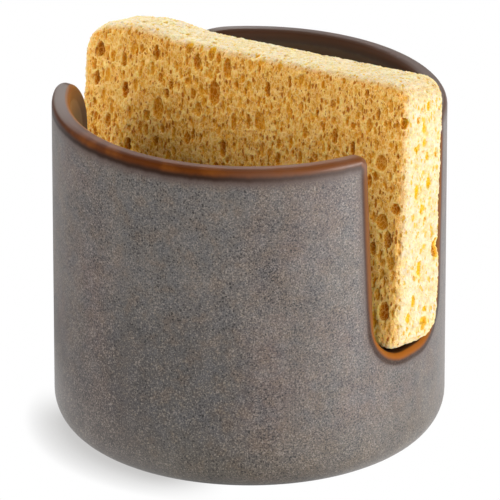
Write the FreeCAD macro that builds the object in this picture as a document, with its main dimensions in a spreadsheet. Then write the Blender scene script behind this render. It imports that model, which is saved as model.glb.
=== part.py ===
"""Sponge holder: a slotted stoneware cup with a cellulose sponge standing on edge in its slots.

Frame, in millimetres: the origin is on the table, on the axis of the cup. +Z is up, X runs along the slots
and the sponge, and -Y is the front. The photo's near slot is the one at +X.
"""
import os

import FreeCAD
import Part
import Sketcher

# Driving dimensions: lengths in millimetres, angles in degrees.
SIZES = [
    # The cup, turned round the Z axis.
    ("cup_diameter", 100.0),
    ("cup_height", 88.5),
    ("wall", 4.7),
    ("base_round", 9.0),
    ("floor_height", 6.5),
    ("floor_round", 8.0),
    ("foot_width", 7.0),
    ("recess_depth", 1.2),
    ("recess_slope", 1.8),
    # The two slots, cut along X: the near one at +X with crisp corners, the far one with soft ones.
    ("slot_clearance", 15.3),
    ("slot_taper", 2.73),
    ("slot_bottom", 31.7),
    ("slot_round_share", 0.8),
    ("near_slot_offset", 3.5),
    ("near_mouth_share", 0.62),
    ("far_slot_offset", 4.0),
    ("far_mouth_share", 0.3),
    ("lip_share", 0.455),
    # The sponge, longer than the cup is wide.
    ("sponge_length", 104.8),
    ("sponge_height", 66.7),
    ("sponge_rise", 1.06),
    ("sponge_thickness", 15.7),
    ("sponge_tilt", 4.26),
    ("sponge_top_corner", 5.5),
    ("sponge_foot_corner", 2.2),
    ("sponge_edge", 1.5),
    ("sponge_shift", -0.4),
    # How loosely the sponge stands in the slots.
    ("back_gap", 0.6),
    ("front_gap", 3.85),
    ("rest_gap", 1.75),
]

# The slot sketch is drawn this far past the rim, so that the cut leaves nothing above it.
CUT_PAST_RIM = 10.0
# Points this near each other count as the same when edges are picked out.
NEAR = 0.001
# An edge is compared with a cylinder at this many points along it.
EDGE_SAMPLES = 7
# How a sketch numbers the start, end and centre of its lines and arcs, its origin and its axes.
START, END, CENTRE = range(1, 4)
LEVEL_AXIS, UPRIGHT_AXIS = range(-1, -3, -1)
ORIGIN = (LEVEL_AXIS, START)

# Lengths that follow from the sizes above, as expressions.
OUTER_RADIUS = "sizes.cup_diameter / 2"
TAPER = "(sizes.slot_taper * 1deg)"
SLOT_HALF = "((sizes.sponge_thickness + sizes.slot_clearance) / 2)"
FOOT_HALF = f"({SLOT_HALF} - (sizes.cup_height - sizes.slot_bottom) * tan{TAPER})"
SLOT_ROUND = f"sizes.slot_round_share * {FOOT_HALF}"
# The near slot's corners at the rim follow the wall, the far slot's wider ones the cup's radius.
MOUTH_ROUND = {
    "near": "(sizes.near_mouth_share * sizes.wall)",
    "far": f"(sizes.far_mouth_share * {OUTER_RADIUS})",
}
MOUTH_HEIGHT = f"(sizes.cup_height - {MOUTH_ROUND['near']})"
REST_HEIGHT = "(sizes.slot_bottom + sizes.rest_gap)"
SLOT_BACK = f"(sizes.near_slot_offset + {SLOT_HALF} - {MOUTH_ROUND['near']} * tan{TAPER})"
SLOT_FRONT = f"(sizes.near_slot_offset - {FOOT_HALF})"
# The slots cross the wall at a slant, which leaves less room for its two rounded edges.
LIP_REACH = f"(sizes.far_slot_offset + {SLOT_HALF} + {MOUTH_ROUND['far']} / 4)"
LIP_SLANT = f"asin({LIP_REACH} / ({OUTER_RADIUS} - sizes.wall))"
LIP_ROUND = f"sizes.lip_share * sizes.wall * cos({LIP_SLANT})"
# The sponge stands with its foot near the front of the slots and its back on their rear edges.
LEAN_RISE = f"({MOUTH_HEIGHT} - {REST_HEIGHT})"
LEAN_RUN = f"({SLOT_BACK} - sizes.back_gap - {SLOT_FRONT} - sizes.front_gap - sizes.sponge_thickness)"
LEAN = f"atan({LEAN_RUN} / {LEAN_RISE})"
SPONGE_Y = (
    f"{SLOT_BACK} - sizes.back_gap - sizes.sponge_thickness / 2 / cos({LEAN})"
    f" - {LEAN_RISE} * tan({LEAN})"
)


def make_sheet(doc):
    """Put the driving dimensions in a spreadsheet and give them back by name."""
    sheet = doc.addObject("Spreadsheet::Sheet", "sizes")
    for row, (name, value) in enumerate(SIZES, start=1):
        sheet.set(f"A{row}", name)
        sheet.set(f"B{row}", str(value))
        sheet.setAlias(f"B{row}", name)
    doc.recompute()
    return dict(SIZES)


def plane_of(body, role):
    """The origin plane of a body with this role."""
    for feature in body.Origin.OriginFeatures:
        if feature.Role == role:
            return feature
    raise ValueError(f"{body.Label} has no {role}")


def sketch_on(body, role, name):
    """A new sketch on an origin plane of the body."""
    sketch = body.newObject("Sketcher::SketchObject", name)
    sketch.AttachmentSupport = (plane_of(body, role), [""])
    sketch.MapMode = "FlatFace"
    return sketch


def vector(point):
    return FreeCAD.Vector(point[0], point[1], 0)


def add_line(sketch, start, end):
    return sketch.addGeometry(Part.LineSegment(vector(start), vector(end)))


def add_arc(sketch, start, middle, end):
    return sketch.addGeometry(Part.Arc(vector(start), vector(middle), vector(end)))


def arc_end_at(sketch, arc, point):
    """Which end of an arc is at this point."""
    start = sketch.getPoint(arc, START)
    return START if start.distanceToPoint(vector(point)) < NEAR else END


def constrain(sketch, kind, *where):
    sketch.addConstraint(Sketcher.Constraint(kind, *where))


def dimension(sketch, kind, name, expression, *where):
    """A named dimension that follows an expression on the sheet."""
    index = sketch.addConstraint(Sketcher.Constraint(kind, *where))
    sketch.renameConstraint(index, name)
    sketch.setExpression(f"Constraints.{name}", expression)


def on_round(centre, radius, degrees):
    """A point on a circle, by its angle."""
    turn = FreeCAD.Base.Rotation(FreeCAD.Vector(0, 0, 1), degrees)
    spoke = turn.multVec(FreeCAD.Vector(radius, 0, 0))
    return (centre[0] + spoke.x, centre[1] + spoke.y)


def tan_deg(degrees):
    """The tangent of an angle in degrees."""
    turned = FreeCAD.Base.Rotation(FreeCAD.Vector(0, 0, 1), degrees).multVec(FreeCAD.Vector(1, 0, 0))
    return turned.y / turned.x


def draw_profile(body, size):
    """Half the section of the cup before the slots are cut: foot, wall with a square rim, and floor."""
    sketch = sketch_on(body, "YZ_Plane", "profile")
    radius = size["cup_diameter"] / 2
    inside = radius - size["wall"]
    height = size["cup_height"]
    foot_centre = (radius - size["base_round"], size["base_round"])
    floor_centre = (inside - size["floor_round"], size["floor_height"] + size["floor_round"])
    foot_edge = on_round(foot_centre, size["base_round"], -90)
    recess_rim = (foot_edge[0] - size["foot_width"], 0)
    recess_edge = (recess_rim[0] - size["recess_slope"], size["recess_depth"])
    wall_foot = on_round(foot_centre, size["base_round"], 0)
    wall_inside = on_round(floor_centre, size["floor_round"], 0)
    floor_edge = on_round(floor_centre, size["floor_round"], -90)

    recess = add_line(sketch, (0, recess_edge[1]), recess_edge)
    slope = add_line(sketch, recess_edge, recess_rim)
    foot = add_line(sketch, recess_rim, foot_edge)
    base = add_arc(sketch, foot_edge, on_round(foot_centre, size["base_round"], -45), wall_foot)
    outer = add_line(sketch, wall_foot, (radius, height))
    rim = add_line(sketch, (radius, height), (inside, height))
    inner = add_line(sketch, (inside, height), wall_inside)
    hollow = add_arc(sketch, wall_inside, on_round(floor_centre, size["floor_round"], -45), floor_edge)
    floor = add_line(sketch, floor_edge, (0, floor_edge[1]))
    axis = add_line(sketch, (0, floor_edge[1]), (0, recess_edge[1]))

    joined = ((recess, slope), (slope, foot), (outer, rim), (rim, inner), (floor, axis), (axis, recess))
    for first, second in joined:
        constrain(sketch, "Coincident", first, END, second, START)
    constrain(sketch, "Tangent", foot, END, base, arc_end_at(sketch, base, foot_edge))
    constrain(sketch, "Tangent", outer, START, base, arc_end_at(sketch, base, wall_foot))
    constrain(sketch, "Tangent", inner, END, hollow, arc_end_at(sketch, hollow, wall_inside))
    constrain(sketch, "Tangent", floor, START, hollow, arc_end_at(sketch, hollow, floor_edge))
    for level in (recess, rim, floor):
        constrain(sketch, "Horizontal", level)
    for upright in (outer, inner):
        constrain(sketch, "Vertical", upright)
    for end in (START, END):
        constrain(sketch, "PointOnObject", foot, end, LEVEL_AXIS)
        constrain(sketch, "PointOnObject", axis, end, UPRIGHT_AXIS)

    dimension(sketch, "Radius", "base_round", "sizes.base_round", base, size["base_round"])
    dimension(sketch, "Radius", "floor_round", "sizes.floor_round", hollow, size["floor_round"])
    dimension(sketch, "DistanceX", "radius", OUTER_RADIUS, *ORIGIN, outer, END, radius)
    dimension(sketch, "DistanceY", "height", "sizes.cup_height", *ORIGIN, outer, END, height)
    dimension(sketch, "DistanceX", "wall", "sizes.wall", rim, END, rim, START, size["wall"])
    dimension(sketch, "DistanceY", "floor_height", "sizes.floor_height", *ORIGIN, floor, START, floor_edge[1])
    width = size["foot_width"]
    depth = size["recess_depth"]
    run = size["recess_slope"]
    dimension(sketch, "DistanceX", "foot_width", "sizes.foot_width", foot, START, foot, END, width)
    dimension(sketch, "DistanceY", "recess_depth", "sizes.recess_depth", *ORIGIN, slope, START, depth)
    dimension(sketch, "DistanceX", "recess_slope", "sizes.recess_slope", slope, START, slope, END, run)
    return sketch


def mouth_round(size, which):
    """The radius of a slot's corners at the rim."""
    if which == "near":
        return size["near_mouth_share"] * size["wall"]
    return size["far_mouth_share"] * size["cup_diameter"] / 2


def draw_slot(body, size, which):
    """The outline of a slot seen along X: a U that narrows downward, rounded at its mouth."""
    sketch = sketch_on(body, "YZ_Plane", f"{which}_slot_outline")
    taper = size["slot_taper"]
    middle = size[f"{which}_slot_offset"]
    height = size["cup_height"]
    bottom = size["slot_bottom"]
    mouth = mouth_round(size, which)
    mouth_width = f"({SLOT_HALF} + {MOUTH_ROUND[which]} * (1 / cos{TAPER} - tan{TAPER}))"
    top = height + CUT_PAST_RIM
    slope = tan_deg(taper)
    secant = (1 + slope * slope) ** 0.5
    slot_half = (size["sponge_thickness"] + size["slot_clearance"]) / 2
    mouth_half = slot_half + mouth * (secant - slope)
    slot_round = size["slot_round_share"] * (slot_half - (height - bottom) * slope)
    round_height = bottom + slot_round
    round_half = slot_half - (height - round_height) * slope - slot_round * secant

    def corners(side):
        """The arc points of one side, at +1 for the back of the slot and -1 for its front."""
        mouth_centre = (mouth_half, height - mouth)
        foot_centre = (round_half, round_height)
        half = [
            on_round(mouth_centre, mouth, 90),
            on_round(mouth_centre, mouth, 135),
            on_round(mouth_centre, mouth, 180 - taper),
            on_round(foot_centre, slot_round, -taper),
            on_round(foot_centre, slot_round, -45),
            on_round(foot_centre, slot_round, -90),
        ]
        return [(middle + side * across, up) for across, up in half]

    back = corners(1)
    front = corners(-1)
    lid = add_line(sketch, (front[0][0], top), (back[0][0], top))
    sole = add_line(sketch, back[5], front[5])
    constrain(sketch, "Horizontal", lid)
    constrain(sketch, "Horizontal", sole)
    flanks = []
    for points, lid_end, sole_end in ((back, END, START), (front, START, END)):
        riser = add_line(sketch, (points[0][0], top), points[0])
        shoulder = add_arc(sketch, points[0], points[1], points[2])
        flank = add_line(sketch, points[2], points[3])
        bend = add_arc(sketch, points[3], points[4], points[5])
        shoulder_top = arc_end_at(sketch, shoulder, points[0])
        constrain(sketch, "Vertical", riser)
        constrain(sketch, "Coincident", lid, lid_end, riser, START)
        constrain(sketch, "Coincident", riser, END, shoulder, shoulder_top)
        constrain(sketch, "Vertical", shoulder, CENTRE, shoulder, shoulder_top)
        constrain(sketch, "Tangent", flank, START, shoulder, arc_end_at(sketch, shoulder, points[2]))
        constrain(sketch, "Tangent", flank, END, bend, arc_end_at(sketch, bend, points[3]))
        constrain(sketch, "Tangent", sole, sole_end, bend, arc_end_at(sketch, bend, points[5]))
        side = "back" if points is back else "front"
        dimension(sketch, "Radius", f"{side}_mouth", MOUTH_ROUND[which], shoulder, mouth)
        dimension(sketch, "Radius", f"{side}_round", SLOT_ROUND, bend, slot_round)
        dimension(sketch, "DistanceY", f"{side}_rim", "sizes.cup_height", *ORIGIN, riser, END, height)
        flanks.append(flank)

    back_edge = f"sizes.{which}_slot_offset + {mouth_width}"
    dimension(sketch, "DistanceY", "past_rim", f"sizes.cup_height + {CUT_PAST_RIM}", *ORIGIN, lid, START, top)
    dimension(sketch, "DistanceY", "slot_bottom", "sizes.slot_bottom", *ORIGIN, sole, START, bottom)
    dimension(sketch, "DistanceX", "mouth", f"2 * {mouth_width}", lid, START, lid, END, 2 * mouth_half)
    dimension(sketch, "DistanceX", "back_edge", back_edge, *ORIGIN, lid, END, middle + mouth_half)
    back_turn = FreeCAD.Units.Quantity(f"{-90 - taper} deg")
    front_turn = FreeCAD.Units.Quantity(f"{taper - 90} deg")
    dimension(sketch, "Angle", "back_flank", f"-90deg - {TAPER}", flanks[0], back_turn)
    dimension(sketch, "Angle", "front_flank", f"{TAPER} - 90deg", flanks[1], front_turn)
    return sketch


def on_cylinder(edge, radius):
    """Whether an edge runs on a cylinder of this radius round the Z axis."""
    points = edge.discretize(EDGE_SAMPLES)
    return all(abs((point.x ** 2 + point.y ** 2) ** 0.5 - radius) < NEAR for point in points)


def lip_edges(shape, radius, lowest):
    """The closed chain of edges along rim and slots on one side of the wall."""
    return [
        f"Edge{number}"
        for number, edge in enumerate(shape.Edges, start=1)
        if on_cylinder(edge, radius) and edge.BoundBox.ZMin > lowest - NEAR
    ]


def add_fillet(body, base, edges, name, expression):
    """Round edges of a feature by an expression on the sheet."""
    fillet = body.newObject("PartDesign::Fillet", name)
    fillet.Base = (base, edges)
    fillet.setExpression("Radius", expression)
    body.Document.recompute()
    return fillet


def make_cup(doc, size):
    """The cup: turned, slotted, and all its edges along rim and slots softened by the glaze."""
    body = doc.addObject("PartDesign::Body", "stoneware_cup")
    body.Label = "stoneware_cup"
    profile = draw_profile(body, size)
    doc.recompute()

    turned = body.newObject("PartDesign::Revolution", "turned")
    turned.Profile = profile
    turned.ReferenceAxis = (profile, ["V_Axis"])
    turned.Angle = 360
    doc.recompute()

    slots = None
    for which in ("near", "far"):
        outline = draw_slot(body, size, which)
        doc.recompute()
        slots = body.newObject("PartDesign::Pocket", f"{which}_slot")
        slots.Profile = outline
        slots.Reversed = which == "near"
        slots.setExpression("Length", "sizes.cup_diameter")
        doc.recompute()

    radius = size["cup_diameter"] / 2
    edges = lip_edges(slots.Shape, radius, size["slot_bottom"])
    edges += lip_edges(slots.Shape, radius - size["wall"], size["slot_bottom"])
    add_fillet(body, slots, edges, "lips", LIP_ROUND)
    return body


def draw_sponge(body, size):
    """The broad side of the sponge: a block with one end lower than the other, tilted as it stands."""
    sketch = sketch_on(body, "XZ_Plane", "broad_side")
    length = size["sponge_length"]
    turn = FreeCAD.Base.Rotation(FreeCAD.Vector(0, 0, 1), size["sponge_tilt"])
    corner = (-length / 2, 0)

    def placed(along, up):
        """A point measured along and up the tilted block from its lowest corner."""
        moved = turn.multVec(FreeCAD.Vector(along, up, 0))
        return (corner[0] + moved.x, corner[1] + moved.y)

    rise = size["sponge_rise"]
    fall = length * tan_deg(size["sponge_tilt"]) - rise
    low_left = placed(0, 0)
    low_right = placed(length, -fall)
    high_right = placed(length, size["sponge_height"] - fall)
    high_left = placed(0, size["sponge_height"] - fall)
    under = add_line(sketch, low_left, low_right)
    right = add_line(sketch, low_right, high_right)
    top = add_line(sketch, high_right, high_left)
    left = add_line(sketch, high_left, low_left)
    for first, second in ((under, right), (right, top), (top, left), (left, under)):
        constrain(sketch, "Coincident", first, END, second, START)
    constrain(sketch, "Perpendicular", right, top)
    constrain(sketch, "Perpendicular", left, top)
    constrain(sketch, "PointOnObject", under, START, LEVEL_AXIS)
    half_length = "sizes.sponge_length / 2"
    dimension(sketch, "DistanceX", "half_length", half_length, under, START, *ORIGIN, length / 2)
    dimension(sketch, "Distance", "length", "sizes.sponge_length", top, length)
    dimension(sketch, "Distance", "height", "sizes.sponge_height", right, size["sponge_height"])
    dimension(sketch, "DistanceY", "rise", "sizes.sponge_rise", under, START, under, END, rise)
    tilt = FreeCAD.Units.Quantity(f"{size['sponge_tilt'] - 180} deg")
    dimension(sketch, "Angle", "tilt", "sizes.sponge_tilt * 1deg - 180deg", top, tilt)
    return sketch


def corner_edges(shape, thickness, upper):
    """The edges that run through the sponge at its upper or at its lower corners."""
    middle = shape.BoundBox.Center.z
    return [
        f"Edge{number}"
        for number, edge in enumerate(shape.Edges, start=1)
        if edge.BoundBox.YLength > thickness / 2 and (edge.CenterOfMass.z > middle) == upper
    ]


def make_sponge(doc, size):
    """The sponge: a block with soft corners and edges, leaning back in the slots."""
    body = doc.addObject("PartDesign::Body", "sponge")
    body.Label = "sponge"
    broad_side = draw_sponge(body, size)
    doc.recompute()
    block = body.newObject("PartDesign::Pad", "block")
    block.Profile = broad_side
    block.SideType = "Symmetric"
    block.setExpression("Length", "sizes.sponge_thickness")
    doc.recompute()

    thickness = size["sponge_thickness"]
    top_edges = corner_edges(block.Shape, thickness, True)
    topped = add_fillet(body, block, top_edges, "top_corners", "sizes.sponge_top_corner")
    foot_edges = corner_edges(topped.Shape, thickness, False)
    cornered = add_fillet(body, topped, foot_edges, "foot_corners", "sizes.sponge_foot_corner")
    around = [
        f"Edge{number}"
        for number, edge in enumerate(cornered.Shape.Edges, start=1)
        if edge.BoundBox.YLength < NEAR
    ]
    add_fillet(body, cornered, around, "soft_edges", "sizes.sponge_edge")

    tip_back = FreeCAD.Vector(-1, 0, 0)
    body.Placement.Rotation = FreeCAD.Rotation(tip_back, size["sponge_tilt"])
    body.setExpression("Placement.Rotation.Angle", LEAN)
    body.setExpression("Placement.Base.x", "sizes.sponge_shift")
    body.setExpression("Placement.Base.y", SPONGE_Y)
    body.setExpression("Placement.Base.z", REST_HEIGHT)
    doc.recompute()
    return body


def check_document(doc):
    """Stop if a feature failed or has no sound shape."""
    for item in doc.Objects:
        if "Invalid" in item.State or "Error" in item.State:
            raise RuntimeError(f"{item.Label} failed: {item.State}")
        if hasattr(item, "Shape") and item.isDerivedFrom("PartDesign::Feature"):
            if item.Shape.isNull() or not item.Shape.isValid():
                raise RuntimeError(f"{item.Label} has no sound shape")


def main():
    doc = FreeCAD.newDocument("sponge_holder")
    size = make_sheet(doc)
    bodies = [make_cup(doc, size), make_sponge(doc, size)]
    doc.recompute()
    check_document(doc)
    os.makedirs("parts", exist_ok=True)
    for body in bodies:
        body.Shape.exportStep(f"parts/{body.Label}.step")
        box = body.Shape.BoundBox
        print(body.Label, "volume", round(body.Shape.Volume), "solids", len(body.Shape.Solids))
        print("  x", round(box.XMin, 2), round(box.XMax, 2), "y", round(box.YMin, 2), round(box.YMax, 2))
        print("  z", round(box.ZMin, 2), round(box.ZMax, 2))
    print("nearest approach", round(bodies[0].Shape.distToShape(bodies[1].Shape)[0], 3))


main()
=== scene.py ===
"""The sponge holder as it looks: a glazed stoneware cup and a cellulose sponge, over the CAD frame."""
import math
import random

import bmesh
import bpy
import numpy as np
from mathutils import Matrix, Vector, kdtree, noise


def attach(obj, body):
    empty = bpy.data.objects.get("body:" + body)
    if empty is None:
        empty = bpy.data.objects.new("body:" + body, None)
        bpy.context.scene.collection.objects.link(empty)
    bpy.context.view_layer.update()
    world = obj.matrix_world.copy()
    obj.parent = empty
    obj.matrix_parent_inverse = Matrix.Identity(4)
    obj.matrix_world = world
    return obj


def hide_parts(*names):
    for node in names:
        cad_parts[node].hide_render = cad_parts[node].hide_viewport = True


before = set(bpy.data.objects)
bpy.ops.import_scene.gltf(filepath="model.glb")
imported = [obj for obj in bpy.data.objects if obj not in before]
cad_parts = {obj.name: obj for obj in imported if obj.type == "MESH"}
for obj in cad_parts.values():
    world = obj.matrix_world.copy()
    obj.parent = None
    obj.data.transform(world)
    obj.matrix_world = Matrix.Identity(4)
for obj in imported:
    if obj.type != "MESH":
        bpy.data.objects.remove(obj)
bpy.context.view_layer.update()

# Lengths below are in millimetres unless they say metres, and the scene is in metres.
MM = 0.001

# The cup and its slots.
CUP_RADIUS = 50.0
CUP_HEIGHT = 88.5
WALL = 4.7
SLOT_MIDDLE = {"near": 3.5, "far": 4.0}
MOUTH_ROUND = {"near": 0.62 * WALL, "far": 0.3 * CUP_RADIUS}
SLOT_HALF = 15.5
SLOT_TAPER = math.radians(2.73)
SLOT_BOTTOM = 31.7
SLOT_ROUND = 10.23
# How much of the wall, from outside, wears the outer glaze.
OUTER_SHARE = 0.72
# The side of the cup on which the glaze is slate grey, as a level direction.
SLATE_SIDE = (0.27, -0.96)
# The side on which painted shade darkens the glaze low down.
PAINTED_SHADE_SIDE = (-0.46, -0.89)

# The sponge as it stands: its block, its corners, its tilt along X, its lean toward the back and its place.
SPONGE_LENGTH = 104.8
SPONGE_HEIGHT = 66.7
SPONGE_RISE = 1.06
SPONGE_THICKNESS = 15.7
SPONGE_TILT = math.radians(4.26)
SPONGE_LEAN = math.radians(8.727)
SPONGE_LEFT_CORNER = 8.5
SPONGE_RIGHT_CORNER = 6.2
SPONGE_FOOT_CORNER = 5.0
SPONGE_EDGE = 2.6
SPONGE_PLACE = (-0.4, 2.316, 33.45)
SPONGE_FALL = SPONGE_LENGTH * math.tan(SPONGE_TILT) - SPONGE_RISE
SPONGE_SHORT = SPONGE_HEIGHT - SPONGE_FALL
# Grain of the sponge's mesh, how deep a pore goes at most, and the half width that makes a pore large.
SPONGE_GRAIN = 0.30
DEEPEST_PIT = 4.5
LARGE_PORE = 0.5
PORE_SEED = 7
# How the pores' outlines are bent: how many waves to the millimetre, and how far.
PORE_WAVES = 0.9
PORE_BEND = 0.22
# Roughness of the skin: how many waves to the millimetre, and how high.
SKIN_WAVES = [(0.35, 0.25), (1.3, 0.2), (2.3, 0.25)]
# The largest pores of the front: along and up on the block, half width, half height, how dark.
FRONT_PORES = [
    (43, 48, 1.9, 3.2, 0.9),
    (47, 55, 1.4, 2.7, 0.7),
    (25, 41, 1.8, 3.0, 0.6),
    (14, 44, 1.1, 2.2, 1.0),
    (37, 55, 1.1, 2.3, 0.8),
    (38, 43, 1.2, 2.0, 0.5),
    (58, 43, 1.7, 2.6, 0.4),
    (97, 39, 1.9, 2.1, 0.7),
    (98, 24, 1.9, 2.1, 0.7),
    (102, 28, 1.4, 1.5, 1.0),
    (100, 2, 1.6, 2.1, 1.0),
]

# The camera, as fitted to the photo's 500 by 500 frame.
CAMERA_AZIMUTH = math.radians(38.9)
CAMERA_ELEVATION = math.radians(23.0)
CAMERA_DISTANCE = 2000.0
CAMERA_TARGET_RIGHT = 0.12
CAMERA_TARGET_HEIGHT = 46.2
CAMERA_LENS = 565.6
CAMERA_SENSOR = 36.0

# The table: half its width in metres, where most of its light comes from, the side of the cup on which it is
# shaded, and how far the shade reaches.
TABLE_HALF = 3.0
TABLE_LIGHT = (0.55, 0.40, 0.70)
TABLE_SHADE = (-0.35, -0.94)
TABLE_SHADE_REACH = 13.0

# The room: its light on the object, and how dark it is in the glaze away from the lit sweep.
ROOM_LIGHT = 0.42
ROOM_DARK = 0.03
# The lamps: name, place, width and height in metres, power in watts, and whether the glaze mirrors it.
LAMPS = [
    ("key", (1.47, 0.29, 0.19), 0.6, 0.34, 19.0, True),
    ("top", (-0.70, 0.87, 1.02), 0.9, 0.6, 25.0, False),
    ("fill", (-0.9, -1.15, 0.62), 1.0, 1.0, 13.5, False),
    ("front", (0.95, -0.85, 0.50), 0.8, 0.8, 6.5, False),
]
# The point that they are turned to, in metres.
LAMP_AIM = (0.0, 0.0, 0.045)


def paint(red, green, blue):
    """A colour as it should show on screen, 0 to 255, made linear."""
    channels = []
    for level in (red, green, blue):
        share = level / 255
        channels.append(share / 12.92 if share <= 0.04045 else ((share + 0.055) / 1.055) ** 2.4)
    return (*channels, 1.0)


def add_node(tree, kind, **settings):
    """A new node with its settings."""
    node = tree.nodes.new(kind)
    for name, value in settings.items():
        setattr(node, name, value)
    return node


def put(tree, value, socket):
    """A plain value, or another node's output, goes into a socket."""
    if isinstance(value, bpy.types.NodeSocket):
        tree.links.new(value, socket)
    else:
        socket.default_value = value


def calc(tree, operation, first, second=0.0):
    """One step of arithmetic."""
    node = add_node(tree, "ShaderNodeMath", operation=operation)
    put(tree, first, node.inputs[0])
    put(tree, second, node.inputs[1])
    return node.outputs[0]


def spread(tree, value, low, high, to_low=0.0, to_high=1.0):
    """Maps a stretch of values smoothly onto another."""
    node = add_node(tree, "ShaderNodeMapRange", interpolation_type="SMOOTHSTEP")
    put(tree, value, node.inputs["Value"])
    put(tree, low, node.inputs["From Min"])
    put(tree, high, node.inputs["From Max"])
    put(tree, to_low, node.inputs["To Min"])
    put(tree, to_high, node.inputs["To Max"])
    return node.outputs["Result"]


def mix(tree, share, first, second):
    """The first colour where the share is 0, the second where it is 1."""
    node = add_node(tree, "ShaderNodeMix", data_type="RGBA")
    put(tree, share, node.inputs[0])
    put(tree, first, node.inputs[6])
    put(tree, second, node.inputs[7])
    return node.outputs[2]


def choose(tree, share, first, second):
    """The first value where the share is 0, the second where it is 1."""
    node = add_node(tree, "ShaderNodeMix", data_type="FLOAT")
    put(tree, share, node.inputs[0])
    put(tree, first, node.inputs[2])
    put(tree, second, node.inputs[3])
    return node.outputs[0]


def length_of(tree, first, second):
    """The length of two sides set square to each other."""
    squares = calc(tree, "ADD", calc(tree, "MULTIPLY", first, first), calc(tree, "MULTIPLY", second, second))
    return calc(tree, "SQRT", squares)


def mottle(tree, place, scale, detail=2.0, roughness=0.5):
    """Soft noise, about 0.5 on average."""
    node = add_node(tree, "ShaderNodeTexNoise")
    put(tree, place, node.inputs["Vector"])
    put(tree, scale, node.inputs["Scale"])
    put(tree, detail, node.inputs["Detail"])
    put(tree, roughness, node.inputs["Roughness"])
    return node.outputs["Fac"]


def cells(tree, place, scale, feature="F1"):
    """Many scattered points: how far the nearest is, or how far the border between two of them."""
    node = add_node(tree, "ShaderNodeTexVoronoi", feature=feature)
    put(tree, place, node.inputs["Vector"])
    put(tree, scale, node.inputs["Scale"])
    return node


def stretched(tree, place, shape):
    """A place with each axis drawn out or pressed together."""
    node = add_node(tree, "ShaderNodeVectorMath", operation="MULTIPLY")
    put(tree, place, node.inputs[0])
    node.inputs[1].default_value = shape
    return node.outputs["Vector"]


def stirred(tree, place, scale, reach):
    """A place pushed about by noise."""
    cloud = add_node(tree, "ShaderNodeTexNoise")
    put(tree, place, cloud.inputs["Vector"])
    put(tree, scale, cloud.inputs["Scale"])
    push = add_node(tree, "ShaderNodeVectorMath", operation="MULTIPLY_ADD")
    put(tree, cloud.outputs["Color"], push.inputs[0])
    push.inputs[1].default_value = (reach, reach, reach)
    put(tree, place, push.inputs[2])
    return push.outputs["Vector"]


def ramp(tree, share, stops):
    """A colour that runs through the stops as the share rises."""
    node = add_node(tree, "ShaderNodeValToRGB")
    elements = node.color_ramp.elements
    elements[0].position, elements[0].color = stops[0]
    elements[1].position, elements[1].color = stops[-1]
    for position, colour in stops[1:-1]:
        elements.new(position).color = colour
    put(tree, share, node.inputs["Fac"])
    return node.outputs["Color"]


def new_material(name):
    """A new material, its nodes and its shader."""
    material = bpy.data.materials.new(name)
    material.use_nodes = True
    tree = material.node_tree
    return material, tree, tree.nodes["Principled BSDF"]


def place_in_mm(tree):
    """Where a point is on the object, in millimetres."""
    coordinates = add_node(tree, "ShaderNodeTexCoord")
    scaled = add_node(tree, "ShaderNodeVectorMath", operation="SCALE")
    put(tree, coordinates.outputs["Object"], scaled.inputs[0])
    scaled.inputs["Scale"].default_value = 1 / MM
    return scaled.outputs["Vector"]


def along_across_up(tree, place):
    """The three measures of a place: along the slots, across them to the back, and up."""
    parts = add_node(tree, "ShaderNodeSeparateXYZ")
    put(tree, place, parts.inputs[0])
    return parts.outputs["X"], parts.outputs["Y"], parts.outputs["Z"]


def slot_distance(tree, across, height, which):
    """How far a point of the wall is from the edge of a slot."""
    offset = calc(tree, "ABSOLUTE", calc(tree, "SUBTRACT", across, SLOT_MIDDLE[which]))
    slope = math.tan(SLOT_TAPER)
    round_height = SLOT_BOTTOM + SLOT_ROUND
    round_half = SLOT_HALF - (CUP_HEIGHT - round_height) * slope - SLOT_ROUND / math.cos(SLOT_TAPER)
    half = calc(tree, "ADD", calc(tree, "MULTIPLY", height, slope), SLOT_HALF - CUP_HEIGHT * slope)
    beside = calc(tree, "SUBTRACT", offset, half)
    out = calc(tree, "MAXIMUM", calc(tree, "SUBTRACT", offset, round_half), 0.0)
    down = calc(tree, "MINIMUM", calc(tree, "SUBTRACT", height, round_height), 0.0)
    below = calc(tree, "SUBTRACT", length_of(tree, out, down), SLOT_ROUND)
    return choose(tree, calc(tree, "LESS_THAN", height, round_height), beside, below)


def mouth_distance(tree, across, height, which):
    """How far a point is from a slot's rounded corner at the rim, and far off anywhere else."""
    bend = MOUTH_ROUND[which]
    offset = calc(tree, "ABSOLUTE", calc(tree, "SUBTRACT", across, SLOT_MIDDLE[which]))
    out = calc(tree, "SUBTRACT", SLOT_HALF + bend, offset)
    up = calc(tree, "SUBTRACT", height, CUP_HEIGHT - bend)
    beside = calc(tree, "GREATER_THAN", out, 0.0)
    above = calc(tree, "GREATER_THAN", up, 0.0)
    at_corner = calc(tree, "MULTIPLY", beside, above)
    return choose(tree, at_corner, CUP_HEIGHT, calc(tree, "SUBTRACT", bend, length_of(tree, out, up)))


def edge_distance(tree, along, across, height):
    """How far a point of the wall is from the edge of a slot, at whichever end of the cup it is."""
    ends = []
    for which in ("far", "near"):
        slot = slot_distance(tree, across, height, which)
        ends.append(calc(tree, "MINIMUM", slot, mouth_distance(tree, across, height, which)))
    return choose(tree, calc(tree, "GREATER_THAN", along, 0.0), *ends)


def specks(tree, place, spacing, small, large):
    """Round specks of mixed size scattered over the glaze: 1 on a speck and 0 beside it."""
    scattered = cells(tree, stirred(tree, place, 1.5, 0.3), 1 / spacing)
    size = add_node(tree, "ShaderNodeSeparateColor")
    put(tree, scattered.outputs["Color"], size.inputs[0])
    edge = spread(tree, size.outputs[0], 0.0, 1.0, small / spacing, large / spacing)
    return spread(tree, scattered.outputs["Distance"], edge, calc(tree, "MULTIPLY", edge, 0.55))


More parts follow.
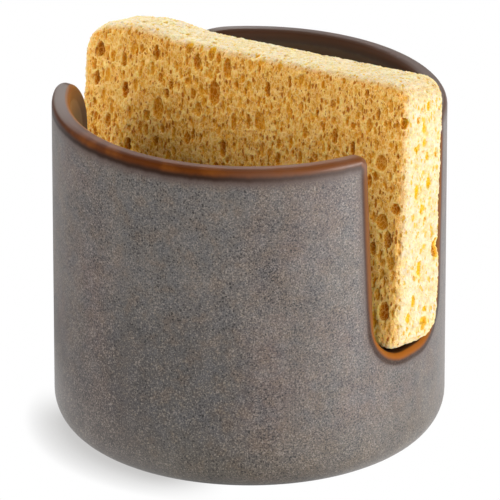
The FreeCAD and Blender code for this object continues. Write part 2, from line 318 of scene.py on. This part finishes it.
def speckled_body(tree, place, height, facing, lower_left):
    """The body of the glaze: mauve brown, slate on the front with painted light making it lighter high up,
    olive low down, painted shade low on the left, peppered dark and pale.
    """
    clouds = mottle(tree, place, 0.06, 3.0, 0.55)
    body = ramp(tree, clouds, [
        (0.32, paint(90, 74, 69)),
        (0.45, paint(91, 79, 74)),
        (0.55, paint(88, 79, 73)),
        (0.68, paint(86, 77, 74)),
    ])
    drift = calc(tree, "MULTIPLY", calc(tree, "SUBTRACT", mottle(tree, place, 0.08, 2.0), 0.5), 0.08)
    slate = spread(tree, calc(tree, "ADD", facing, drift), 0.88, 0.975, 0.0, 0.85)
    # Painted light: the slate is lighter higher up.
    lit = spread(tree, height, 34.0, 60.0)
    body = mix(tree, slate, body, mix(tree, lit, paint(72, 69, 66), paint(88, 84, 80)))
    tint = mottle(tree, place, 0.2, 3.0, 0.6)
    body = mix(tree, spread(tree, tint, 0.50, 0.64, 0.0, 0.4), body, paint(80, 80, 83))
    body = mix(tree, spread(tree, tint, 0.50, 0.36, 0.0, 0.4), body, paint(98, 80, 64))
    olive = spread(tree, height, 22.0, 3.0, 0.0, 0.5)
    body = mix(tree, olive, body, paint(84, 74, 58))
    # Painted shade: the glaze is darkened low down on the left.
    shaded = calc(tree, "MULTIPLY", spread(tree, lower_left, 0.70, 0.95), spread(tree, height, 52.0, 8.0))
    body = mix(tree, calc(tree, "MULTIPLY", shaded, 0.65), body, paint(62, 50, 46))
    pepper = mottle(tree, place, 2.5, 2.0, 0.7)
    crowd = calc(tree, "SUBTRACT", mottle(tree, place, 0.16, 3.0, 0.6), 0.5)
    flecks = calc(tree, "SUBTRACT", pepper, calc(tree, "MULTIPLY", crowd, 0.14))
    even = spread(tree, slate, 0.0, 0.85, 1.0, 0.75)
    body = mix(tree, calc(tree, "MULTIPLY", even, spread(tree, flecks, 0.46, 0.35)), body, paint(18, 14, 12))
    bright = spread(tree, flecks, 0.54, 0.66, 0.0, 0.9)
    body = mix(tree, calc(tree, "MULTIPLY", even, bright), body, paint(136, 126, 116))
    sparse = spread(tree, crowd, 0.1, -0.1, 0.1, 0.4)
    tan = calc(tree, "MULTIPLY", specks(tree, place, 0.95, 0.04, 0.36), sparse)
    body = mix(tree, tan, body, paint(140, 126, 106))
    crowded = spread(tree, crowd, -0.1, 0.1, 0.4, 1.0)
    dark = calc(tree, "MULTIPLY", specks(tree, place, 0.75, 0.05, 0.34), crowded)
    body = mix(tree, dark, body, paint(26, 22, 20))
    low_down = spread(tree, height, 60.0, 15.0, 0.1, 0.4)
    cream = calc(tree, "MULTIPLY", specks(tree, place, 1.5, 0.03, 0.32), low_down)
    body = mix(tree, cream, body, paint(150, 138, 118))
    return body, pepper


def toward(tree, along, across, radius, direction):
    """How squarely a point of the wall faces a level direction: 1 where it does."""
    first = calc(tree, "MULTIPLY", along, direction[0])
    second = calc(tree, "MULTIPLY", across, direction[1])
    return calc(tree, "DIVIDE", calc(tree, "ADD", first, second), radius)


def thin_edges(tree, colour, place, spot, from_rim, from_slot):
    """The glaze breaks over an edge: mauve haze, dark brown, then rust, and gold at the foot of a slot, with
    painted reflection along the rim and painted shade at the slot's inner edge low down.
    """
    along, across, height = spot
    runs = calc(tree, "SUBTRACT", mottle(tree, stretched(tree, place, (1.0, 1.0, 0.12)), 0.3, 3.0, 0.6), 0.5)
    below_rim = calc(tree, "ADD", from_rim, runs)
    beside_slot = calc(tree, "ADD", from_slot, calc(tree, "MULTIPLY", runs, 0.6))
    from_left = calc(tree, "DIVIDE", calc(tree, "ADD", along, CUP_RADIUS), 2 * CUP_RADIUS)
    low = spread(tree, height, 50.0, 36.0)
    haze = calc(tree, "MAXIMUM", spread(tree, below_rim, 6.0, 2.8), spread(tree, beside_slot, 5.4, 2.6))
    brown = calc(tree, "MAXIMUM", spread(tree, below_rim, 3.9, 2.2), spread(tree, beside_slot, 3.8, 2.5))
    beside_gold = calc(tree, "ADD", beside_slot, calc(tree, "MULTIPLY", low, 0.8))
    rust = calc(tree, "MAXIMUM", spread(tree, below_rim, 2.4, 0.9), spread(tree, beside_gold, 3.0, 1.7))
    colour = mix(tree, calc(tree, "MULTIPLY", haze, choose(tree, low, 0.9, 0.6)), colour, paint(76, 55, 46))
    # Painted reflection: the dark brown band is made stronger toward the left end.
    deepened = choose(tree, low, spread(tree, from_left, 0.7, 0.95, 0.95, 0.4), 0.5)
    colour = mix(tree, calc(tree, "MULTIPLY", brown, deepened), colour, paint(36, 16, 3))
    # Partly painted reflection: the thin glaze is darker toward the left end and paler and rosier at the
    # right end, where a highlight falls.
    thin_glaze_and_reflection = ramp(tree, from_left, [
        (0.05, paint(62, 30, 6)),
        (0.35, paint(74, 33, 2)),
        (0.72, paint(86, 41, 3)),
        (0.95, paint(112, 70, 44)),
    ])
    amber = spread(tree, mottle(tree, place, 0.12, 3.0, 0.6), 0.42, 0.62, 0.0, 0.8)
    patches = calc(tree, "MULTIPLY", amber, spread(tree, from_left, 0.2, 0.4))
    thin_glaze_and_reflection = mix(tree, patches, thin_glaze_and_reflection, paint(108, 57, 9))
    thin_glaze_and_reflection = mix(tree, spread(tree, across, 0.0, 25.0, 0.0, 0.8), thin_glaze_and_reflection, paint(72, 54, 46))
    colour = mix(tree, rust, colour, thin_glaze_and_reflection)
    gold = mix(tree, low, paint(112, 66, 20), paint(142, 80, 10))
    # Painted reflection: the crest near the left end is painted light grey.
    left_end = spread(tree, from_left, 0.36, 0.12, 0.0, 0.6)
    painted_crest_reflection = calc(tree, "MULTIPLY", spread(tree, from_rim, 0.8, 0.3), left_end)
    colour = mix(tree, painted_crest_reflection, colour, paint(122, 112, 106))
    ring = calc(tree, "MULTIPLY", spread(tree, beside_gold, 3.0, 1.7), spread(tree, height, 86.0, 80.0))
    colour = mix(tree, ring, colour, gold)
    # Painted shade: a dark line along the slot's inner edge low down, under the sponge.
    slot_floor_shade = calc(tree, "MULTIPLY", spread(tree, from_slot, 0.35, 0.1), low)
    colour = mix(tree, slot_floor_shade, colour, paint(60, 32, 10))
    return colour, haze, brown


def inner_glaze_and_shade(tree, across, from_rim):
    """The inside of the cup: dark grey brown at the back, warmer in front of the sponge, and darker deeper
    down as painted shade; the warmth near the rim is partly thin glaze and partly painted light thrown back
    by the sponge.
    """
    # Painted shade: darker deeper down inside the cup.
    depth = calc(tree, "DIVIDE", from_rim, 40.0)
    back = ramp(tree, depth, [
        (0.02, paint(70, 46, 32)),
        (0.07, paint(66, 58, 54)),
        (0.30, paint(62, 56, 53)),
        (1.0, paint(54, 44, 38)),
    ])
    # Partly painted light: near the rim in front of the sponge the glaze is warmer, partly thin glaze at the
    # edge and partly light thrown back by the sponge.
    front = ramp(tree, depth, [
        (0.02, paint(120, 72, 32)),
        (0.10, paint(114, 77, 48)),
        (0.25, paint(80, 66, 60)),
        (1.0, paint(58, 46, 40)),
    ])
    return mix(tree, spread(tree, across, -10.0, 5.0), front, back)


def make_glaze():
    """Grey-brown speckled stoneware glaze that breaks to rust brown where it runs thin over an edge."""
    material, tree, shader = new_material("stoneware_glaze")
    place = place_in_mm(tree)
    along, across, height = along_across_up(tree, place)
    radius = length_of(tree, along, across)
    facing = toward(tree, along, across, radius, SLATE_SIDE)
    lower_left = toward(tree, along, across, radius, PAINTED_SHADE_SIDE)
    colour, pepper = speckled_body(tree, place, height, facing, lower_left)
    from_rim = calc(tree, "SUBTRACT", CUP_HEIGHT, height)
    from_slot = edge_distance(tree, along, across, height)
    colour, haze, bare = thin_edges(tree, colour, place, (along, across, height), from_rim, from_slot)
    inside = calc(tree, "LESS_THAN", radius, CUP_RADIUS - WALL * OUTER_SHARE)
    colour = mix(tree, inside, colour, inner_glaze_and_shade(tree, across, from_rim))
    colour = mix(tree, spread(tree, height, 0.7, 0.2), colour, paint(190, 172, 150))
    put(tree, colour, shader.inputs["Base Color"])
    satin = spread(tree, pepper, 0.3, 0.7, 0.42, 0.52)
    put(tree, choose(tree, calc(tree, "MAXIMUM", haze, inside), satin, 0.40), shader.inputs["Roughness"])
    shader.inputs["Specular IOR Level"].default_value = 0.2
    crest = spread(tree, from_rim, 0.6, 0.1)
    near_end = spread(tree, along, 20.0, 40.0, 0.0, 0.3)
    shiny_end = calc(tree, "MULTIPLY", near_end, spread(tree, height, 82.0, 86.0))
    glossy = calc(tree, "MAXIMUM", spread(tree, bare, 0.0, 1.0, 0.72, shiny_end), crest)
    put(tree, glossy, shader.inputs["Coat Weight"])
    shader.inputs["Coat Roughness"].default_value = 0.46
    shader.inputs["Coat IOR"].default_value = 1.8

    bump = add_node(tree, "ShaderNodeBump")
    bump.inputs["Strength"].default_value = 0.2
    bump.inputs["Distance"].default_value = 0.12 * MM
    put(tree, calc(tree, "MULTIPLY", pepper, calc(tree, "SUBTRACT", 1.0, haze)), bump.inputs["Height"])
    put(tree, bump.outputs["Normal"], shader.inputs["Normal"])
    return material


def small_pores(tree, place, width, small, large):
    """Upright oval pores finer than the mesh: 1 in a pore and 0 on the skin."""
    shape = stretched(tree, stirred(tree, place, 1.1, 0.5), (1.0, 1.0, 0.45))
    scattered = cells(tree, shape, 1 / width)
    size = add_node(tree, "ShaderNodeSeparateColor")
    put(tree, scattered.outputs["Color"], size.inputs[0])
    edge = spread(tree, size.outputs[0], 0.0, 1.0, small, large)
    return spread(tree, scattered.outputs["Distance"], edge, calc(tree, "MULTIPLY", edge, 0.6))


def cellulose_skin(tree, place, pale):
    """The skin between the pores: golden on the broad sides, with painted light on the brightly lit top and
    ends, which are cream, and at the near end, which is paler.
    """
    cloud = mottle(tree, place, 0.5, 4.0, 0.65)
    golden = ramp(tree, cloud, [
        (0.35, paint(208, 142, 46)),
        (0.50, paint(220, 162, 68)),
        (0.65, paint(234, 191, 110)),
    ])
    # Painted light: the brightly lit top and ends are painted paler and creamier.
    cream = ramp(tree, cloud, [
        (0.35, paint(202, 181, 134)),
        (0.50, paint(207, 192, 159)),
        (0.65, paint(212, 203, 182)),
    ])
    along, _, height = along_across_up(tree, place)
    # Painted light: near the near end, lower down, the skin is painted paler gold, as light glowing through
    # from the bright end.
    near_end = calc(tree, "MULTIPLY", spread(tree, along, 36.0, 48.0), spread(tree, height, 80.0, 45.0))
    golden = mix(tree, calc(tree, "MULTIPLY", near_end, 0.7), golden, paint(252, 204, 112))
    return mix(tree, pale, golden, cream)


def pore_walls(tree, depth, pale, dark):
    """The inside of the pores: amber, darker with depth as painted shade, pale under a film, and yellow on
    the brightly lit top and ends as painted light.
    """
    # Painted shade: the pores' amber darkens with depth.
    deep = ramp(tree, calc(tree, "DIVIDE", depth, 4.0), [
        (0.0, paint(238, 184, 74)),
        (0.12, paint(198, 122, 10)),
        (0.35, paint(166, 86, 2)),
        (0.8, paint(122, 56, 0)),
    ])
    film = calc(tree, "MULTIPLY", calc(tree, "SUBTRACT", 1.0, dark), 0.7)
    deep = mix(tree, film, deep, paint(226, 164, 44))
    # Painted light: the pores on the brightly lit top and ends are painted yellow.
    yellow = calc(tree, "MULTIPLY", pale, spread(tree, dark, 0.75, 1.0, 0.9, 0.1))
    return mix(tree, yellow, deep, paint(220, 176, 8))


def make_cellulose():
    """Yellow cellulose: a fibrous skin with amber pores."""
    material, tree, shader = new_material("yellow_cellulose")
    place = place_in_mm(tree)
    depth, pale, dark, ring = (
        add_node(tree, "ShaderNodeAttribute", attribute_name=name).outputs["Fac"]
        for name in ("pit", "pale", "dark", "ring")
    )
    threads = stretched(tree, stirred(tree, place, 0.9, 0.8), (1.0, 1.0, 0.5))
    strands = cells(tree, threads, 1.25, "DISTANCE_TO_EDGE")
    fibre = spread(tree, strands.outputs["Distance"], 0.14, 0.03)
    skin = cellulose_skin(tree, place, pale)
    skin = mix(tree, calc(tree, "MULTIPLY", fibre, 0.35), skin, paint(248, 224, 160))
    coarse = small_pores(tree, place, 1.05, 0.10, 0.42)
    fine = small_pores(tree, place, 0.5, 0.05, 0.34)
    pores = calc(tree, "MAXIMUM", coarse, fine)
    # Pores finer than the mesh are drawn darker: partly their amber, partly painted shade in the hole.
    hollow = mix(tree, pale, paint(166, 90, 4), paint(216, 172, 16))
    skin = mix(tree, calc(tree, "MULTIPLY", pores, choose(tree, pale, 0.9, 0.8)), skin, hollow)
    # Painted highlight: the skin is lighter on the rims of the large pores.
    skin = mix(tree, calc(tree, "MULTIPLY", ring, 0.5), skin, paint(252, 222, 146))
    deep = pore_walls(tree, depth, pale, dark)
    deep = mix(tree, calc(tree, "MULTIPLY", pores, choose(tree, pale, 0.45, 0.1)), deep, paint(150, 82, 10))
    deep = mix(tree, calc(tree, "MULTIPLY", fibre, 0.35), deep, paint(246, 200, 104))
    put(tree, mix(tree, spread(tree, depth, 0.1, 0.5), skin, deep), shader.inputs["Base Color"])
    shader.inputs["Roughness"].default_value = 0.9
    shader.inputs["Specular IOR Level"].default_value = 0.15
    shader.inputs["Subsurface Weight"].default_value = 0.5
    shader.inputs["Subsurface Radius"].default_value = (1.0, 0.5, 0.15)
    shader.inputs["Subsurface Scale"].default_value = 3.0 * MM
    bump = add_node(tree, "ShaderNodeBump")
    bump.inputs["Strength"].default_value = 0.8
    bump.inputs["Distance"].default_value = 0.25 * MM
    relief = calc(tree, "ADD", calc(tree, "MULTIPLY", fibre, 0.4), mottle(tree, place, 2.2, 3.0, 0.7))
    put(tree, calc(tree, "SUBTRACT", relief, calc(tree, "MULTIPLY", pores, 1.2)), bump.inputs["Height"])
    put(tree, bump.outputs["Normal"], shader.inputs["Normal"])
    return material


def finish_cup():
    """The turned and slotted cup is the CAD solid, welded and shaded smooth."""
    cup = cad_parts["stoneware_cup"]
    weld = cup.modifiers.new("weld", "WELD")
    weld.merge_threshold = 0.001 * MM
    cup.data.polygons.foreach_set("use_smooth", [True] * len(cup.data.polygons))
    cup.data.materials.clear()
    cup.data.materials.append(make_glaze())


def mesh_object(name, mesh):
    """An object made from a mesh and put in the scene."""
    piece = bpy.data.objects.new(name, mesh)
    bpy.context.scene.collection.objects.link(piece)
    return piece


def sponge_block():
    """The sponge's block lying square: length along X, thickness along Y, its lower left corner at 0."""
    mesh = bmesh.new()
    bmesh.ops.create_cube(mesh, size=1.0)
    half = SPONGE_THICKNESS / 2
    for corner in mesh.verts:
        along = SPONGE_LENGTH if corner.co.x > 0 else 0.0
        foot = -SPONGE_FALL if along else 0.0
        up = SPONGE_SHORT if corner.co.z > 0 else foot
        corner.co = Vector((along, math.copysign(half, corner.co.y), up))
    across = [edge for edge in mesh.edges if abs(edge.verts[0].co.y - edge.verts[1].co.y) > half]
    for edge in across:
        top = edge.verts[0].co.z > SPONGE_SHORT / 2
        left = edge.verts[0].co.x < SPONGE_LENGTH / 2
        radius = (SPONGE_LEFT_CORNER if left else SPONGE_RIGHT_CORNER) if top else SPONGE_FOOT_CORNER
        bmesh.ops.bevel(mesh, geom=[edge], offset=radius, offset_type="OFFSET", affect="EDGES", segments=6,
                        profile=0.5, material=-1)
    around = [edge for edge in mesh.edges if all(abs(abs(end.co.y) - half) < 0.01 for end in edge.verts)]
    bmesh.ops.bevel(mesh, geom=around, offset=SPONGE_EDGE, offset_type="OFFSET", affect="EDGES", segments=4,
                    profile=0.5, material=-1)
    block = bpy.data.meshes.new("sponge_block")
    mesh.to_mesh(block)
    mesh.free()
    return block


def remeshed(block, grain):
    """A block as an even net of small faces."""
    holder = mesh_object("sponge_net", block)
    remesh = holder.modifiers.new("net", "REMESH")
    remesh.mode = "VOXEL"
    remesh.voxel_size = grain
    graph = bpy.context.evaluated_depsgraph_get()
    net = bpy.data.meshes.new_from_object(holder.evaluated_get(graph))
    bpy.data.objects.remove(holder)
    return net


def apart(pore, others):
    """True where a pore doesn't run into one of the larger others."""
    (along, over, up), (width, _, tall), _ = pore
    for place, sizes, _ in others:
        if sizes[0] < LARGE_PORE or abs(place[1] - over) > 3:
            continue
        sideways = (place[0] - along) / (sizes[0] + width)
        upward = (place[2] - up) / (sizes[2] + tall)
        if sideways ** 2 + upward ** 2 < 1.1:
            return False
    return True


def drawn_pore(draw, side, widths, heights):
    """One pore somewhere on a side of the block: where it is, its half sizes and how dark it is."""
    half = SPONGE_THICKNESS / 2
    width = draw.uniform(*widths)
    tall = draw.uniform(*heights)
    thick = draw.uniform(*widths) * 1.3
    along = draw.uniform(0, SPONGE_LENGTH)
    up = draw.uniform(-SPONGE_FALL, SPONGE_SHORT)
    over = draw.uniform(-half, half)
    sunk = draw.uniform(-0.2, 0.4)
    if side == "front":
        over = -half + sunk * thick
    if side == "back":
        over = half - sunk * thick
    if side == "top":
        up = SPONGE_SHORT - sunk * tall
    if side == "under":
        up = -SPONGE_FALL * along / SPONGE_LENGTH + sunk * tall
    if side == "left":
        along = sunk * width
    if side == "right":
        along = SPONGE_LENGTH - sunk * width
    return (along, over, up), (width, thick, tall), draw.uniform(0.1, 1.0)


def scattered_pores():
    """Egg-shaped pores near the skin, longer upward: the large ones in front, then sorts drawn at random."""
    draw = random.Random(PORE_SEED)
    half = SPONGE_THICKNESS / 2
    sorts = [
        # Count on a broad side, on the top or bottom, on an end; half width, half height.
        (56, 0, 0, (0.9, 1.3), (1.4, 2.5)),
        (400, 4, 22, (0.58, 0.9), (1.0, 2.2)),
        (900, 40, 90, (0.40, 0.62), (0.7, 1.5)),
        (1200, 140, 120, (0.30, 0.42), (0.5, 1.1)),
    ]
    pores = [((along, -half, up), (width, 1.5, tall), dark) for along, up, width, tall, dark in FRONT_PORES]
    # One large pore bites into the rear edge of the near end.
    pores.append(((SPONGE_LENGTH - 0.4, half - 2.0, 16.4), (1.8, 2.0, 2.6), 1.0))
    for broad, level, end, widths, heights in sorts:
        counts = {"front": broad, "back": broad, "top": level, "under": level, "left": end, "right": end}
        for side, count in counts.items():
            for _ in range(count):
                pore = drawn_pore(draw, side, widths, heights)
                if pore[1][0] < LARGE_PORE or apart(pore, pores):
                    pores.append(pore)
    return pores


def swelling(points):
    """How the damp block bulges: a hump on top, a fuller foot, lower at the near end, and a worn corner."""
    along, over, up = points.T
    half = SPONGE_THICKNESS / 2
    above_foot = up + SPONGE_FALL * along / SPONGE_LENGTH
    moved = np.zeros_like(points)
    near_top = np.clip(1 - (SPONGE_SHORT - up) / 14, 0, 1)
    moved[:, 2] += 1.5 * np.exp(-((along - 17) / 10) ** 2) * near_top
    near_left = np.clip(1 - along / 12, 0, 1)
    moved[:, 0] -= near_left * (0.4 + 0.4 * np.exp(-((above_foot - 36) / 12) ** 2))
    to_front = np.clip(-over / half, 0, 1)
    to_back = np.clip(over / half, 0, 1)
    moved[:, 1] -= 0.5 * to_front * np.clip(1 - above_foot / 16, 0, 1)
    toward_end = np.clip((along - 55) / 30, 0, 1)
    moved[:, 2] -= (1.5 - 0.6 * over / half) * np.clip(1 - above_foot / 12, 0, 1) * toward_end
    moved[:, 1] += 1.2 * to_back * np.exp(-((above_foot - 13) / 12) ** 2)
    moved[:, 1] -= 2.2 * to_back * np.clip(1 - above_foot / 7, 0, 1) ** 2
    near_right = np.clip(1 - (SPONGE_LENGTH - along) / 6, 0, 1)
    moved[:, 0] += 0.5 * near_right * to_back * np.exp(-((above_foot - 13) / 12) ** 2)
    return moved


def pit_depths(points, normals):
    """For each point of the skin: how deep a pore sinks it, how dark that is, and how near it is to a rim."""
    tree = kdtree.KDTree(len(points))
    for index, point in enumerate(points):
        tree.insert(point, index)
    tree.balance()
    # Without a seed this noise differs from run to run.
    noise.seed_set(PORE_SEED)
    warp = np.array([noise.noise_vector(Vector(point) * PORE_WAVES) for point in points]) * PORE_BEND
    moved = points + warp
    depth = np.zeros(len(points))
    darkness = np.zeros(len(points))
    ring = np.zeros(len(points))
    for centre, sizes, dark in scattered_pores():
        found = tree.find_range(centre, max(sizes) + 0.8)
        if not found:
            continue
        near = np.array([index for _, index, _ in found])
        start = (moved[near] - centre) / sizes
        inward = -normals[near] / sizes
        run = (inward ** 2).sum(1)
        lead = (start * inward).sum(1)
        gap = (start ** 2).sum(1) - 1
        reach = (-lead + np.sqrt(np.maximum(lead ** 2 - run * gap, 0))) / run
        sunk = np.where(gap < 0, reach * (0.5 + 0.5 * dark), 0)
        darkness[near] = np.where(sunk > depth[near], dark, darkness[near])
        depth[near] = np.maximum(depth[near], sunk)
        if sizes[0] > LARGE_PORE:
            ring[near] = np.maximum(ring[near], np.where(gap > 0, np.clip(1 - gap / 0.6, 0, 1), 0))
    return np.minimum(depth, DEEPEST_PIT), darkness, ring * (depth < 0.1)


def sponge_standing():
    """How the square-lying block is turned and moved to stand in the slots."""
    tilt = Matrix.Rotation(-SPONGE_TILT, 4, "Y")
    lean = Matrix.Rotation(-SPONGE_LEAN, 4, "X")
    corner = Matrix.Translation((-SPONGE_LENGTH / 2, 0, 0))
    return Matrix.Scale(MM, 4) @ Matrix.Translation(SPONGE_PLACE) @ lean @ corner @ tilt


def make_sponge():
    """The sponge: a block with soft edges, its skin pitted by the pores and a little rough."""
    net = remeshed(sponge_block(), SPONGE_GRAIN)
    count = len(net.vertices)
    points = np.empty(count * 3)
    normals = np.empty(count * 3)
    net.vertices.foreach_get("co", points)
    net.vertices.foreach_get("normal", normals)
    points = points.reshape(-1, 3)
    normals = normals.reshape(-1, 3)
    depth, dark, ring = pit_depths(points, normals)
    rough = np.zeros(count)
    for waves, rise in SKIN_WAVES:
        rough += np.array([noise.noise(Vector(point) * waves) for point in points]) * rise
    moved = points + swelling(points) - normals * (depth - rough - 0.12 * ring)[:, None]
    net.vertices.foreach_set("co", moved.ravel())
    # Painted light: how squarely a point faces up or along the block, for painting the brightly lit top and
    # ends paler.
    lit_face = np.clip(np.maximum(np.abs(normals[:, 0]), np.abs(normals[:, 2])) * 1.6 - 0.5, 0, 1)
    for name, values in (("pit", depth), ("dark", dark), ("ring", ring), ("pale", lit_face)):
        net.attributes.new(name, "FLOAT", "POINT").data.foreach_set("value", values)
    net.transform(sponge_standing())
    net.polygons.foreach_set("use_smooth", [True] * len(net.polygons))
    net.materials.append(make_cellulose())
    sponge = mesh_object("cellulose_sponge", net)
    soften = sponge.modifiers.new("soften", "SMOOTH")
    soften.factor = 0.4
    soften.iterations = 2
    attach(sponge, "sponge")
    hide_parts("sponge")


def seen_white(tree):
    """True for what the camera, a reflection or glass sees directly."""
    path = add_node(tree, "ShaderNodeLightPath")
    seen = calc(tree, "MAXIMUM", path.outputs["Is Camera Ray"], path.outputs["Is Glossy Ray"])
    return calc(tree, "MAXIMUM", seen, path.outputs["Is Transmission Ray"])


def table_in_glaze(tree):
    """How bright the table is in the glaze: full to the right, close by on the left and far behind.

    Far behind it dims toward the left, and elsewhere it is dim.
    """
    along, across, _ = along_across_up(tree, place_in_mm(tree))
    radius = length_of(tree, along, across)
    right = (math.cos(CAMERA_AZIMUTH), math.sin(CAMERA_AZIMUTH))
    back = (-math.sin(CAMERA_AZIMUTH), math.cos(CAMERA_AZIMUTH))
    to_right = toward(tree, along, across, radius, right)
    close_by = calc(tree, "MULTIPLY", spread(tree, to_right, -0.2, -0.6), spread(tree, radius, 85.0, 60.0))
    lit = calc(tree, "MAXIMUM", spread(tree, to_right, 0.1, 0.8), close_by)
    behind = spread(tree, toward(tree, along, across, radius, back), 0.2, 0.8)
    far = calc(tree, "MULTIPLY", behind, spread(tree, radius, 70.0, 220.0))
    far = calc(tree, "MULTIPLY", far, spread(tree, to_right, -0.4, -0.05, 0.4, 1.0))
    return choose(tree, calc(tree, "MAXIMUM", lit, far), 0.45, 1.0)


def shaded_side(tree):
    """How far round a place on the table is to the shaded side of the cup, its left and front."""
    along, across, _ = along_across_up(tree, place_in_mm(tree))
    return spread(tree, toward(tree, along, across, length_of(tree, along, across), TABLE_SHADE), 0.60, 0.92)


def make_floor():
    """A white table with a soft shadow beside the cup, on its left and front only."""
    mesh = bmesh.new()
    bmesh.ops.create_grid(mesh, x_segments=1, y_segments=1, size=TABLE_HALF)
    sheet = bpy.data.meshes.new("table")
    mesh.to_mesh(sheet)
    mesh.free()
    material, tree, shader = new_material("white_table")
    shader.inputs["Base Color"].default_value = (0.75, 0.75, 0.75, 1.0)
    shader.inputs["Roughness"].default_value = 1.0
    shader.inputs["Specular IOR Level"].default_value = 0.0
    shade = add_node(tree, "ShaderNodeAmbientOcclusion", samples=32)
    shade.inputs["Distance"].default_value = TABLE_SHADE_REACH * MM
    lit_from = add_node(tree, "ShaderNodeCombineXYZ")
    for axis, share in zip("XYZ", TABLE_LIGHT):
        lit_from.inputs[axis].default_value = share
    put(tree, lit_from.outputs[0], shade.inputs["Normal"])
    glow = add_node(tree, "ShaderNodeEmission")
    camera_ray = add_node(tree, "ShaderNodeLightPath").outputs["Is Camera Ray"]
    put(tree, choose(tree, camera_ray, table_in_glaze(tree), 1.0), glow.inputs["Strength"])
    contact = ramp(tree, shade.outputs["AO"], [
        (0.20, paint(200, 199, 198)),
        (0.78, paint(255, 255, 255)),
    ])
    white = paint(255, 255, 255)
    put(tree, mix(tree, shaded_side(tree), white, contact), glow.inputs["Color"])
    blend = add_node(tree, "ShaderNodeMixShader")
    put(tree, seen_white(tree), blend.inputs[0])
    put(tree, shader.outputs[0], blend.inputs[1])
    put(tree, glow.outputs[0], blend.inputs[2])
    put(tree, blend.outputs[0], tree.nodes["Material Output"].inputs["Surface"])
    sheet.materials.append(material)
    mesh_object("table", sheet)


def make_world():
    """Soft light from all round: white to the camera, and in the glaze a lit sweep high behind the cup."""
    world = bpy.data.worlds.new("studio")
    bpy.context.scene.world = world
    world.use_nodes = True
    tree = world.node_tree
    background = tree.nodes["Background"]
    background.inputs["Color"].default_value = (1.0, 1.0, 1.0, 1.0)
    path = add_node(tree, "ShaderNodeLightPath")
    direction = add_node(tree, "ShaderNodeTexCoord").outputs["Generated"]
    upward = along_across_up(tree, direction)[2]
    to_front = add_node(tree, "ShaderNodeVectorMath", operation="DOT_PRODUCT")
    put(tree, direction, to_front.inputs[0])
    to_front.inputs[1].default_value = (math.sin(CAMERA_AZIMUTH), -math.cos(CAMERA_AZIMUTH), 0.0)
    behind = spread(tree, to_front.outputs["Value"], 0.2, -0.4)
    height = calc(tree, "MULTIPLY", spread(tree, upward, 0.16, 0.34), spread(tree, upward, 0.66, 0.44))
    sweep = calc(tree, "ADD", calc(tree, "MULTIPLY", behind, height), ROOM_DARK)
    mirrored = choose(tree, path.outputs["Is Camera Ray"], sweep, 1.0)
    put(tree, choose(tree, seen_white(tree), ROOM_LIGHT, mirrored), background.inputs["Strength"])


def add_lamp(name, place, width, height, power, mirrored):
    """A soft light that points at the middle of the object, and is or isn't mirrored in the glaze."""
    lamp = bpy.data.lights.new(name, "AREA")
    lamp.shape = "RECTANGLE"
    lamp.size = width
    lamp.size_y = height
    lamp.energy = power
    holder = bpy.data.objects.new(name, lamp)
    bpy.context.scene.collection.objects.link(holder)
    holder.location = place
    holder.visible_glossy = mirrored
    aim = Vector(LAMP_AIM) - Vector(place)
    holder.rotation_euler = aim.to_track_quat("-Z", "Y").to_euler()


def make_camera():
    """The camera that took the photo, as fitted to it."""
    right = Vector((math.cos(CAMERA_AZIMUTH), math.sin(CAMERA_AZIMUTH), 0))
    level = math.cos(CAMERA_ELEVATION)
    back = Vector((
        math.sin(CAMERA_AZIMUTH) * level,
        -math.cos(CAMERA_AZIMUTH) * level,
        math.sin(CAMERA_ELEVATION),
    ))
    target = right * CAMERA_TARGET_RIGHT + Vector((0, 0, CAMERA_TARGET_HEIGHT))
    data = bpy.data.cameras.new("camera")
    data.lens = CAMERA_LENS
    data.sensor_width = CAMERA_SENSOR
    camera = bpy.data.objects.new("camera", data)
    bpy.context.scene.collection.objects.link(camera)
    camera.location = (target + back * CAMERA_DISTANCE) * MM
    camera.rotation_euler = (-back).to_track_quat("-Z", "Y").to_euler()
    bpy.context.scene.camera = camera


finish_cup()
make_sponge()
make_floor()
make_world()
for lamp_settings in LAMPS:
    add_lamp(*lamp_settings)
make_camera()
bpy.context.scene.view_settings.view_transform = "Standard"
